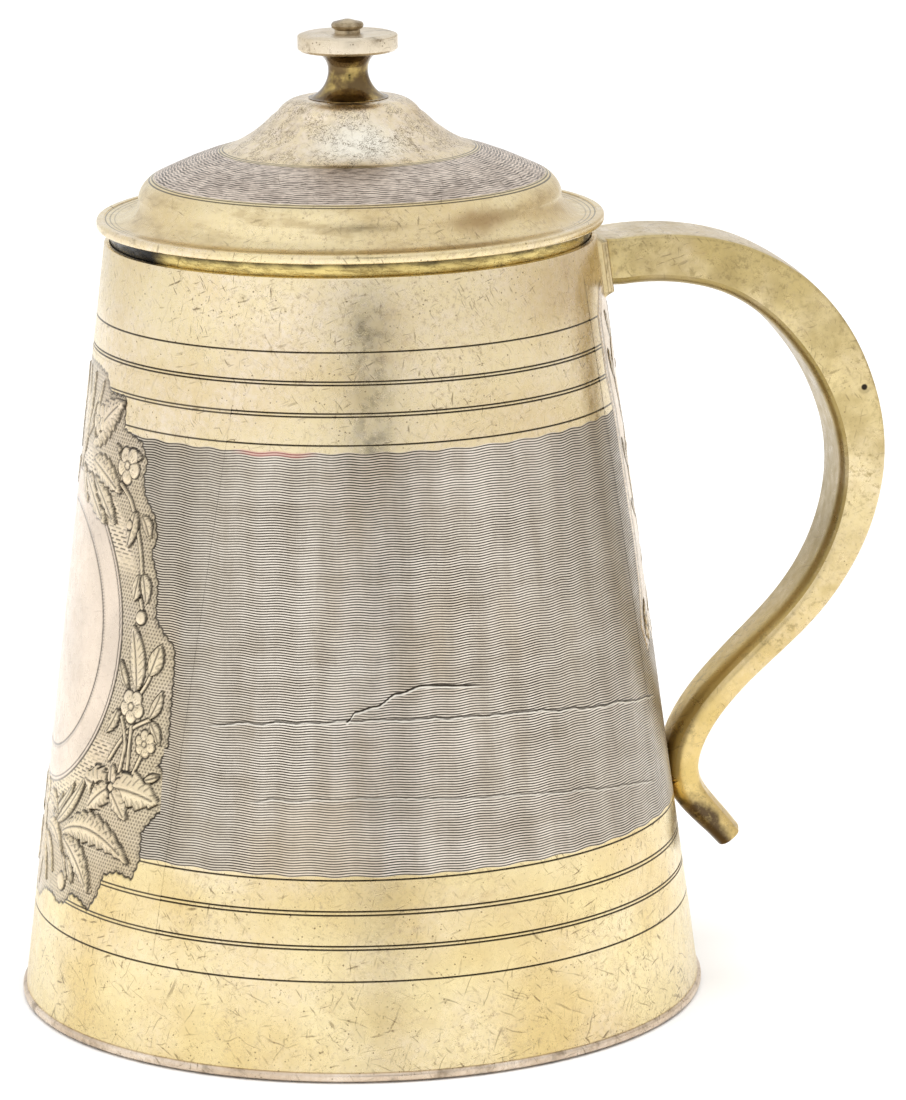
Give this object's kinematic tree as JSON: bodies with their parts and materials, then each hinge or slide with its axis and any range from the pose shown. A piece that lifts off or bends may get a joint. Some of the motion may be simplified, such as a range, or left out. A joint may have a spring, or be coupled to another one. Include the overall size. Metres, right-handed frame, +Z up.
{
  "type": "lidded tankard",
  "caption": "Tapered drinking tankard of parcel-gilt silver with a hollow scroll handle and a lift-off domed lid with a turned knob.",
  "frame": {"origin": "centre of the foot's lower face, on the surface the tankard stands on", "axes": "+Z up along the barrel's axis, +X towards the handle"},
  "size_m": [0.1343, 0.1054, 0.1502],
  "materials": {
    "gilt_silver": "worn pale gilding over silver, polished",
    "silver": "plain silver, softly polished"
  },
  "bodies": {
    "tankard": {"barrel": "gilt_silver", "base_plate": "silver", "foot_wire": "gilt_silver", "handle_shell": "gilt_silver", "handle_liner": "gilt_silver", "handle_collar": "gilt_silver", "handle_tail_plate": "gilt_silver"},
    "lid": {"lid_cover": "gilt_silver", "lid_rim_wire": "gilt_silver", "lid_bezel": "gilt_silver", "knob_spool": "gilt_silver", "knob_disc": "gilt_silver", "knob_rod": "silver", "knob_washer": "silver", "knob_nut": "silver"}
  },
  "joints": [
    {"name": "lid_lift", "type": "slide", "parent": "tankard", "child": "lid", "axis": [0, 0, 1], "range_m": [0, 0.06]}
  ]
}
